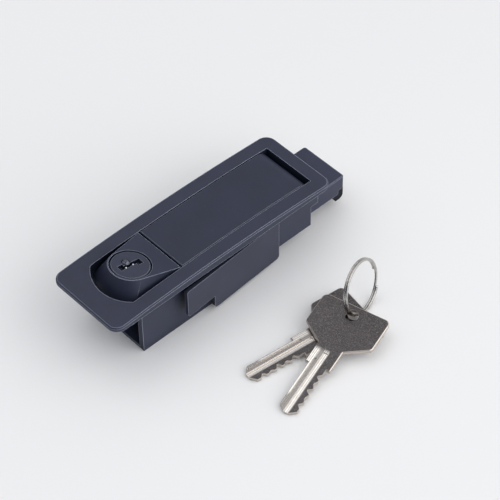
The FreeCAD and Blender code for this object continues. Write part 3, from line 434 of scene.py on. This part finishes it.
spring_steel = plated_metal("spring_steel", (0.24, 0.24, 0.26), (0.5, 0.5, 0.52), roughness=0.33)
handle_coil = hinge_coil(pivot=(0.0465, -0.0038), start=0.005, radius=0.00205, pitch=0.00092,
                         turns=3, legs=(0.0019, 0.0039))
handle_spring = drawn_wire("handle_spring_wire", handle_coil, axis=(0, 1, 0), radius=0.0004)
finished(handle_spring, spring_steel, "housing", "spring_steel", "handle_spring")


# Push button: tilted die-casting in a darker copy of the same coat, which is painted shade,
# hinged on a steel pin at its inner end and pushed up by a torsion spring. The stop rim at
# its rounded foot reaches under the bezel.

button_coat_painted_shade = powder_coat("button_coat_painted_shade", (0.025, 0.030, 0.056), (0.48, 0.53, 0.66),
                          roughness=0.48, radius=0.0003)
dress(["lock_button"], button_coat_painted_shade)
dress(["button_pin"], ground_steel)


def band(name, first, second, low, high):
    """Flat strip between two edges, from height low to high, all in millimetres.

    Out along the first edge and back along the second is counter-clockwise from above.
    """
    loop = np.vstack([first, second[::-1]])
    points = np.vstack([np.insert(loop, 2, height, axis=1) for height in (low, high)])
    count = len(loop)
    strip = np.arange(len(first) - 1)
    roof = np.stack([strip, strip + 1, count - 2 - strip, count - 1 - strip], axis=-1)
    faces = np.vstack([ring_walls(2, count), roof + count, roof[:, ::-1]]).tolist()
    return surface(name, points / 1000.0, faces, smooth=False)


def bowed_edge(across, start, bulge):
    """Arc x = x0 - (sqrt(R^2 - y^2) - R + b), with R = (w^2 + b^2) / 2 b and w the half width."""
    half = across[-1]
    radius = (half ** 2 + bulge ** 2) / (2 * bulge)
    away = np.sqrt(radius ** 2 - across ** 2) - radius + bulge
    return np.stack([start - away, across], axis=1)


rim_across = np.linspace(-12.9, 12.9, 41)
stop_rim = band("button_stop_rim", first=bowed_edge(rim_across, start=-43.9, bulge=3.9),
                second=bowed_edge(rim_across, start=-44.3, bulge=6.9), low=-3.5, high=-2.5)
finished(stop_rim, button_coat_painted_shade, "button", "black_coat")
button_coil = hinge_coil(pivot=(-0.0235, -0.012), start=-0.003, radius=0.00175, pitch=0.000805,
                         turns=3, legs=(0.0047, 0.0133))
button_spring = drawn_wire("button_spring_wire", button_coil, axis=(0, 1, 0), radius=0.00035)
finished(button_spring, spring_steel, "housing", "spring_steel", "button_spring")


# Key cylinder: sleeve and nut in dark nickel plate, with a turned plug whose face wears the
# lock's dark coat. A rounded ward and the wafers show in the keyway, and a zinc-plated cam
# is screwed to the tail.

dark_nickel = plated_metal("dark_nickel", (0.060, 0.064, 0.080), (0.22, 0.23, 0.27),
                           roughness=0.38)
dress(["cylinder_sleeve", "cylinder_nut"], dark_nickel)
plug_coat = powder_coat("plug_coat", (0.032, 0.036, 0.062), (0.44, 0.47, 0.58),
                        roughness=0.42, radius=0.00025)
dress(["key_plug"], plug_coat)

PLUG_FACE = (-0.0347, 0.0, 0.00637)
PLUG_LEAN = math.radians(10.0)
CAP_SKIRT = 0.0004


def cap_over(centre, radius, height, rings=14, sides=32):
    """A round cap on the plug's face: x = r cos a, y = r sin a, z = h cos(pi r / 2 R).

    It ends in a short skirt below the face and is closed by a flat foot. The centre is
    measured on the face, which leans towards the bolt.
    """
    share = np.linspace(1.0, 0.0, rings)[:-1]
    reach = np.concatenate([[radius], radius * share])
    rise = np.concatenate([[-CAP_SKIRT], height * np.cos(0.5 * np.pi * share)])
    angle = np.linspace(0.0, 2.0 * np.pi, sides, endpoint=False)
    points = np.stack([reach[:, None] * np.cos(angle), reach[:, None] * np.sin(angle),
                       np.repeat(rise[:, None], sides, axis=1)], axis=-1).reshape(-1, 3)
    top = fan(len(points), len(points) - sides, sides)
    foot = list(range(sides - 1, -1, -1))
    faces = ring_walls(len(reach), sides).tolist() + top.tolist() + [foot]
    points = np.vstack([points, [[0.0, 0.0, height]]]) + np.asarray(centre)
    leaning = np.array([[math.cos(PLUG_LEAN), 0.0, -math.sin(PLUG_LEAN)],
                        [0.0, 1.0, 0.0],
                        [math.sin(PLUG_LEAN), 0.0, math.cos(PLUG_LEAN)]])
    return points @ leaning + np.asarray(PLUG_FACE), faces


ward_steel = plated_metal("ward_steel", (0.085, 0.09, 0.11), (0.30, 0.31, 0.36), roughness=0.16)
ward = surface("keyway_ward", *cap_over((-0.0004, 0.0024, 0.0), radius=0.0019, height=0.0013))
finished(ward, ward_steel, "plug", "nickel_dark")
tip_steel = plated_metal("tip_steel", (0.86, 0.86, 0.88), (0.95, 0.95, 0.96), roughness=0.12)
tip_centres = ((-0.0024, -0.0002, -0.0003), (0.0012, -0.0003, -0.0003))
for number, centre in enumerate(tip_centres, start=1):
    wafer_tip = surface(f"wafer_tip_{number}",
                        *cap_over(centre, radius=0.00048, height=0.0004, rings=8, sides=20))
    finished(wafer_tip, tip_steel, "plug", "brass_wafer")
wafer_brass = plated_metal("wafer_brass", (0.62, 0.50, 0.26), (0.85, 0.72, 0.42), roughness=0.28)
dress(["wafers"], wafer_brass)
zinc_sheet = plated_metal("zinc_sheet", (0.16, 0.165, 0.18), (0.40, 0.41, 0.43),
                          roughness=0.42, stretch=(0.12, 1.0, 1.0))
dress(["cam"], zinc_sheet)
dress(["cam_screw"], zinc_screw)


# Latch bolt: flat die-casting in a paler copy of the coat, which is painted light on its
# front-lit faces, and a black nylon lip pressed into its tip, whose near-black tone is partly
# painted shade. A compression spring on a guide rod pushes it out.

bolt_coat_painted_light = powder_coat("bolt_coat_painted_light", (0.034, 0.038, 0.069), (0.36, 0.39, 0.50),
                        roughness=0.46, radius=0.0004)
dress(["latch_bolt"], bolt_coat_painted_light)
dress(["bolt_guide_rod"], ground_steel)


def moulded_nylon(name, colour, edge_highlight_colour):
    """Moulded nylon: fine spark-eroded grain and a faint painted sheen along the corners."""
    material, tree, shader = blank_material(name, 0.0, specular=0.2)
    grain = placed(tree, powder_grain, Colour=(*colour, 1.0), Roughness=0.60)
    edge = placed(tree, edge_highlight, Radius=0.0003, Strength=0.5)
    tint = mixed(tree, edge.outputs["Mask"], grain.outputs["Colour"], edge_highlight_colour)
    tree.links.new(tint, shader.inputs["Base Color"])
    tree.links.new(grain.outputs["Roughness"], shader.inputs["Roughness"])
    bumped(tree, shader, grain.outputs["Height"], edge, distance=0.00003, strength=0.5)
    return material


# Near-black, darker than black nylon: partly the nylon's own black and partly painted shade under the
# bolt's tip.
nose_nylon_and_shade = moulded_nylon("nose_nylon_and_shade", (0.004, 0.006, 0.012), (0.03, 0.035, 0.05))
dress(["bolt_nose"], nose_nylon_and_shade)


def push_coil(start, end, height, radius, wire, turns):
    """Centre line of a compression spring along X, for wire of the given radius.

    y = r cos a, z = r sin a. x grows by one wire radius over the first and the last turn,
    which lie pressed together, and evenly over the turns between them.
    """
    share = np.linspace(0.0, 1.0, 44 * turns + 1)
    angle = 2.0 * np.pi * turns * share
    closed = 1.0 / turns
    inner = np.clip((share - closed) / (1.0 - 2.0 * closed), 0.0, 1.0)
    edges = np.clip(share / closed, 0.0, 1.0) + np.clip((share - 1.0 + closed) / closed, 0.0, 1.0)
    body = end - start - 4.0 * wire
    along = start + wire + inner * body + edges * wire
    return np.stack([along, radius * np.cos(angle), height + radius * np.sin(angle)], axis=1)


bolt_coil = push_coil(start=0.0055, end=0.036, height=-0.015125, radius=0.0032, wire=0.00045,
                      turns=9)
bolt_spring = drawn_wire("bolt_spring_wire", bolt_coil, axis=(1, 0, 0), radius=0.00045)
finished(bolt_spring, spring_steel, "housing", "spring_steel", "bolt_spring")
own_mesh(bolt_spring)


# Snap-in wings: two die-castings in a paler copy of the same coat, which is painted light
# on their front-lit faces, each turning on a bead in the wall's groove. A bent strip of
# spring steel holds it out, and it folds flat as the lock goes in.

wing_coat_painted_light = powder_coat("wing_coat_painted_light", (0.038, 0.041, 0.067), (0.34, 0.37, 0.47),
                        roughness=0.52, radius=0.0004)
dress(["wing_front", "wing_back"], wing_coat_painted_light)


def leaf_strip(name, side):
    """Bent strip along X: flat on the wall to x = -13.9 mm, then rising away from it.

    The rise is 2.6 r (0.7 + 0.3 r) mm, where r grows from 0 to 1 over the next 7.8 mm. The
    strip is 0.35 mm thick and stands from z = -16 to -8 mm.
    """
    along = np.linspace(-17.9, -6.0, 33)
    rise = np.clip((along + 13.9) / 7.8, 0.0, 1.0)
    base = 15.28 + 2.6 * rise * (0.7 + 0.3 * rise)
    inner, outer = (np.stack([along, side * away], axis=1) for away in (base, base + 0.35))
    first, second = (inner, outer) if side > 0 else (outer, inner)
    return band(name, first, second, low=-16.0, high=-8.0)


for side_name, side in (("front", -1), ("back", 1)):
    leaf = leaf_strip(f"wing_spring_{side_name}_leaf", side)
    finished(leaf, spring_steel, "housing", "spring_steel", f"wing_spring_{side_name}")
    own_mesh(leaf)


# Keys and ring: two flat keys stamped from brass strip and plated dark nickel, with milled
# grooves and cut bits. A split ring of bright spring steel stands through their holes.

KEY_BOW = (0.088, 0.080, 0.082)
KEY_SPARKLE = (0.42, 0.40, 0.39)
KEY_STRIP_AND_REFLECTION = (0.84, 0.80, 0.75)
KEY_RIM_HIGHLIGHT = (0.60, 0.54, 0.49)
GROOVE_SHADE_LINES = 7400.0  # radians per metre across the blade of the painted shade lines along the grooves


def measured(tree, place, way, start):
    """Distance along a level direction from a starting point, in metres."""
    reached = vectors(tree, "DOT_PRODUCT", place, (*way, 0.0))
    return maths(tree, "SUBTRACT", reached, way[0] * start[0] + way[1] * start[1])


def key_plate(name, tip, heading):
    """Plated key: dark pressed speckle on the bow, bright cut strips along the blade.

    The bright part reaches 33 mm up from the tip and 1.3 mm past the middle line on the
    bits' side. Its brightness is partly the cut metal's own and partly painted reflection: it
    is fully bright to 1.2 mm on the plain side and 0.38 as bright beyond, and its outermost
    strip, from 3 mm out and 8 mm up, is bright again. Painted shade lines run along the
    grooves, and the rims and side walls carry a painted highlight.
    """
    material, tree, shader = blank_material(name, 1.0)
    turn = math.radians(heading)
    place = object_place(tree)
    along = measured(tree, place, (math.cos(turn), math.sin(turn)), tip)
    across = measured(tree, place, (-math.sin(turn), math.cos(turn)), tip)
    # Painted reflection: which strips of the cut blade are bright and how bright; partly the cut
    # metal's own brightness.
    blade = maths(tree, "MULTIPLY", ramp(tree, along, 0.0315, 0.0335, 1.0, 0.0),
                  ramp(tree, across, -0.0014, -0.0011, 0.0, 1.0))
    flank = ramp(tree, across, 0.0011, 0.0013, 1.0, 0.38)
    outermost = maths(tree, "MULTIPLY", ramp(tree, across, 0.0028, 0.0031, 0.0, 0.62),
                      ramp(tree, along, 0.007, 0.009, 0.0, 1.0))
    strips = maths(tree, "MULTIPLY", blade, maths(tree, "ADD", flank, outermost))
    # Painted shade: dark lines along the grooves, about every 0.85 mm across the blade.
    wave = maths(tree, "SINE", maths(tree, "MULTIPLY", across, GROOVE_SHADE_LINES))
    milled_and_reflection = maths(tree, "MULTIPLY", strips, ramp(tree, wave, -1.0, 0.4, 0.55, 1.0))

    metal = placed(tree, metal_scratches, Colour=(*KEY_BOW, 1.0), Roughness=0.34,
                   Stretch=(0.5, 1.0, 1.0), Scale=1.4)
    edge = placed(tree, edge_highlight, Radius=0.00025, Strength=1.3)
    pressed = speckle(tree, place, 3400.0)
    bow = mixed(tree, ramp(tree, pressed, 0.55, 0.65, 0.0, 0.45), metal.outputs["Colour"],
                KEY_SPARKLE)
    facing = tree.nodes.new("ShaderNodeSeparateXYZ")
    tree.links.new(tree.nodes.new("ShaderNodeTexCoord").outputs["Normal"], facing.inputs[0])
    # Painted highlight on every side wall and along the edges.
    rim = ramp(tree, facing.outputs["Z"], 0.90, 0.96, 1.0, 0.0)
    highlit = maths(tree, "MAXIMUM", rim, edge.outputs["Mask"])
    tint = mixed(tree, highlit, mixed(tree, milled_and_reflection, bow, KEY_STRIP_AND_REFLECTION), KEY_RIM_HIGHLIGHT)
    tree.links.new(tint, shader.inputs["Base Color"])
    rough = maths(tree, "SUBTRACT", metal.outputs["Roughness"], maths(tree, "MULTIPLY", milled_and_reflection, 0.18))
    tree.links.new(rough, shader.inputs["Roughness"])
    bumped(tree, shader, pressed, edge, distance=0.00003, strength=0.4)
    return material


dress(["key_front"], key_plate("key_nickel_front", tip=(-0.0236, -0.0792), heading=15.4))
dress(["key_back"], key_plate("key_nickel_back", tip=(-0.0221, -0.0554), heading=-9.1))


def split_ring(radius, wire, rise, turns):
    """Two close coils of flattened wire about the Z axis.

    The centre line is (r cos a, r sin a, rise (a / 2 pi - turns / 2)); the section is the
    superellipse |x/a|^3 + |z/b|^3 = 1, with a the wire's half width and b its half height.
    """
    angle = np.linspace(0.0, 2.0 * np.pi * turns, int(96 * turns) + 1)
    around = np.linspace(0.0, 2.0 * np.pi, 16, endpoint=False)
    power = 2.0 / 3.0
    across = wire[0] / 2 * np.sign(np.cos(around)) * np.abs(np.cos(around)) ** power
    up = wire[1] / 2 * np.sign(np.sin(around)) * np.abs(np.sin(around)) ** power
    reach = radius + across[None, :]
    height = rise * (angle / (2.0 * np.pi) - turns / 2)
    points = np.stack([reach * np.cos(angle)[:, None], reach * np.sin(angle)[:, None],
                       height[:, None] + up[None, :]], axis=-1).reshape(-1, 3)
    sides = len(around)
    faces = ring_walls(len(angle), sides)[:, [0, 3, 2, 1]].tolist()
    faces += [list(range(sides)), list(range(len(points) - 1, len(points) - sides - 1, -1))]
    return points, faces


def turned_to(points, facing, middle):
    """Turn points from the Z axis to a facing direction and move them to a middle."""
    facing = unit(facing)
    side = unit(np.cross((0.0, 0.0, 1.0), facing))
    return points @ np.stack([side, np.cross(facing, side), facing]) + np.asarray(middle)


bright_steel = plated_metal("bright_steel", (0.46, 0.44, 0.42), (0.92, 0.89, 0.84), roughness=0.20)
ring_points, ring_faces = split_ring(radius=0.012, wire=(0.00116, 0.00092), rise=0.00096, turns=1.9)
ring_points = turned_to(ring_points, facing=(0.2588, -0.9659, 0.22),
                        middle=(0.03743, -0.05988, -0.01448))
key_ring = surface("key_ring_coils", ring_points, ring_faces)
finished(key_ring, bright_steel, "keys", "bright_steel", "key_ring")


# Table and light: a pale paper table at the height of the bottom cover, three large soft
# lights from the bolt's end, the front and above, and a pale surround.

def studio_floor():
    """A flat sheet far larger than the picture."""
    reach = 3.0
    height = float(cad_low[2])
    points = np.array([[-reach, -reach, height], [reach, -reach, height],
                       [reach, reach, height], [-reach, reach, height]])
    floor = surface("table_top", points, [[0, 1, 2, 3]], smooth=False)
    material, tree, shader = blank_material("table_paper", 0.0)
    tone = mixed(tree, speckle(tree, object_place(tree), 5.0), (0.89, 0.89, 0.89), (0.91, 0.91, 0.91))
    tree.links.new(tone, shader.inputs["Base Color"])
    shader.inputs["Roughness"].default_value = 0.65
    floor.data.materials.append(material)


def stand(thing, right, up, back, place):
    """Set an object's place from its three axes."""
    turned = np.eye(4)
    turned[:3, :3] = np.stack([right, up, back], axis=1)
    turned[:3, 3] = place
    thing.matrix_world = Matrix(turned.tolist())


def soft_light(name, place, size, power, colour):
    """A square area light at one place, turned to face the lock."""
    lamp = bpy.data.lights.new(name, "AREA")
    lamp.shape = "SQUARE"
    lamp.size = size
    lamp.energy = power
    lamp.color = colour
    holder = bpy.data.objects.new(name, lamp)
    bpy.context.scene.collection.objects.link(holder)
    back = unit(place)
    side = unit(np.cross(-back, (0.0, 0.0, 1.0)))
    stand(holder, side, np.cross(side, -back), back, place)


def pale_room():
    """The surround: pale overhead and on the bolt's side, dimmer low on the button's side."""
    surround = bpy.data.worlds.new("pale_room")
    surround.use_nodes = True
    tree = surround.node_tree
    palest_way = (0.60, -0.20, 0.77)
    way = tree.nodes.new("ShaderNodeTexCoord").outputs["Generated"]
    share = ramp(tree, vectors(tree, "DOT_PRODUCT", way, palest_way), -0.10, 0.75, 0.0, 1.0)
    tone = mixed(tree, share, (0.10, 0.12, 0.17), (0.98, 0.985, 1.0))
    back = tree.nodes["Background"]
    tree.links.new(tone, back.inputs["Color"])
    back.inputs["Strength"].default_value = 0.77
    bpy.context.scene.world = surround


studio_floor()
soft_light("window_side", (0.80, -0.95, 0.60), size=1.8, power=7.5, colour=(1.0, 0.99, 0.98))
soft_light("front_fill", (0.1, -1.15, 0.42), size=1.4, power=6.5, colour=(0.97, 0.98, 1.0))
soft_light("ceiling", (-0.40, 0.65, 1.05), size=1.6, power=6.0, colour=(1.0, 1.0, 1.0))
pale_room()
bpy.context.scene.view_settings.view_transform = "Standard"


# Camera: long lens above the front left corner, at the azimuth, elevation and roll that
# were measured in the picture.

def photo_camera(azimuth, elevation, roll, focal_length, place):
    """Camera axes from azimuth and elevation, then turned by the roll; angles in degrees."""
    azimuth, elevation, roll = np.radians([azimuth, elevation, roll])
    forward = np.array([math.sin(azimuth) * math.cos(elevation),
                        math.cos(azimuth) * math.cos(elevation), -math.sin(elevation)])
    level = np.array([math.cos(azimuth), -math.sin(azimuth), 0.0])
    upward = np.cross(level, forward)
    right = math.cos(roll) * level + math.sin(roll) * upward
    up = -math.sin(roll) * level + math.cos(roll) * upward
    lens = bpy.data.cameras.new("photo_camera")
    lens.sensor_width = 36.0
    lens.lens = focal_length
    lens.clip_start = 0.01
    camera = bpy.data.objects.new("photo_camera", lens)
    bpy.context.scene.collection.objects.link(camera)
    stand(camera, right, up, -forward, place)
    bpy.context.scene.camera = camera


photo_camera(azimuth=42.336, elevation=47.787, roll=-0.862, focal_length=151.2,
             place=(-0.3791, -0.4497, 0.6363))
